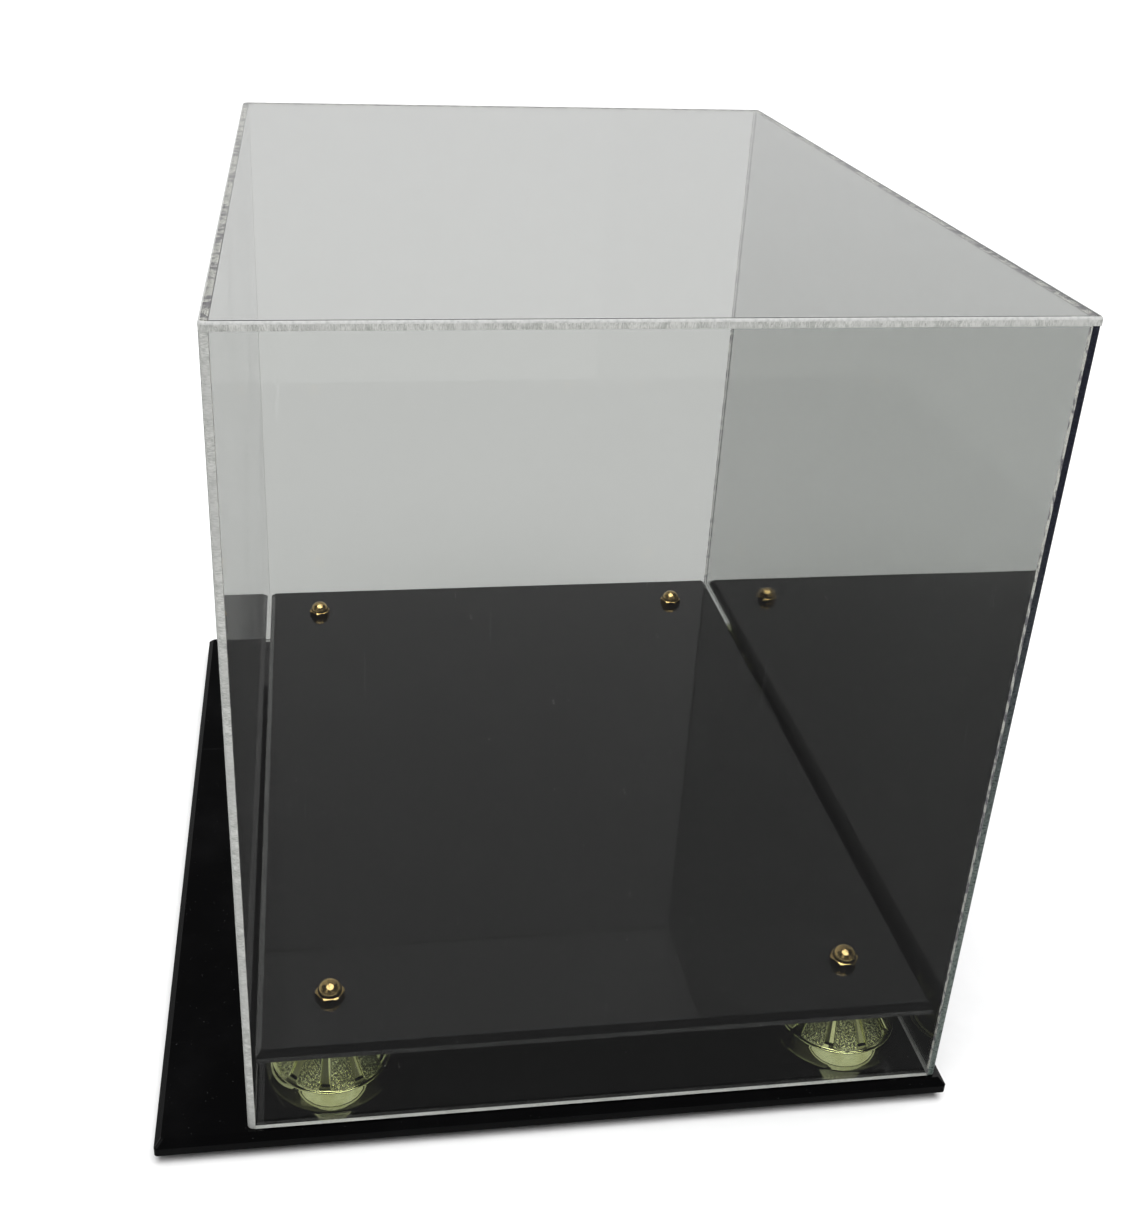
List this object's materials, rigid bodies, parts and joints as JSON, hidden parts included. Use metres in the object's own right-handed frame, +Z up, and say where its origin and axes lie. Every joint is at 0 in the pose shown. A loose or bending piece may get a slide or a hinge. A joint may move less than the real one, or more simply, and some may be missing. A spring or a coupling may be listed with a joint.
{
  "type": "mirrored display case",
  "caption": "Clear acrylic display case with a mirrored back that lifts off a black bevelled base, with a raised black deck bolted on gold fluted risers.",
  "frame": {"origin": "under the middle of the base plate, on the surface that the feet stand on", "axes": "+Z up, -Y the front with the wide ledge, +Y the mirrored back, X the long way from left to right"},
  "size_m": [0.406, 0.333, 0.3492],
  "materials": {
    "clear_acrylic": "polished clear sheet, sawn and sanded edges",
    "mirror_acrylic": "silvered acrylic mirror sheet",
    "mirror_coat": "dark painted back coat",
    "black_acrylic": "polished black sheet",
    "gold_plastic": "vacuum-metallised gold, polished and stippled",
    "brass": "polished",
    "steel": "zinc plated",
    "rubber": "matte"
  },
  "bodies": {
    "base": {"base_plate": "black_acrylic", "deck": "black_acrylic", "riser_front_left": "gold_plastic", "riser_front_right": "gold_plastic", "riser_back_left": "gold_plastic", "riser_back_right": "gold_plastic", "screw_front_left": "steel", "screw_front_right": "steel", "screw_back_left": "steel", "screw_back_right": "steel", "acorn_nut_front_left": "brass", "acorn_nut_front_right": "brass", "acorn_nut_back_left": "brass", "acorn_nut_back_right": "brass", "foot_front_left": "rubber", "foot_front_right": "rubber", "foot_back_left": "rubber", "foot_back_right": "rubber"},
    "cover": {"cover_top_panel": "clear_acrylic", "cover_front_panel": "clear_acrylic", "cover_left_panel": "clear_acrylic", "cover_right_panel": "clear_acrylic", "cover_mirror_panel": "mirror_acrylic", "mirror_back_coat": "mirror_coat"}
  },
  "joints": [
    {"name": "cover_lift", "type": "slide", "parent": "base", "child": "cover", "axis": [0, 0, 1], "range_m": [0, 0.36]}
  ]
}
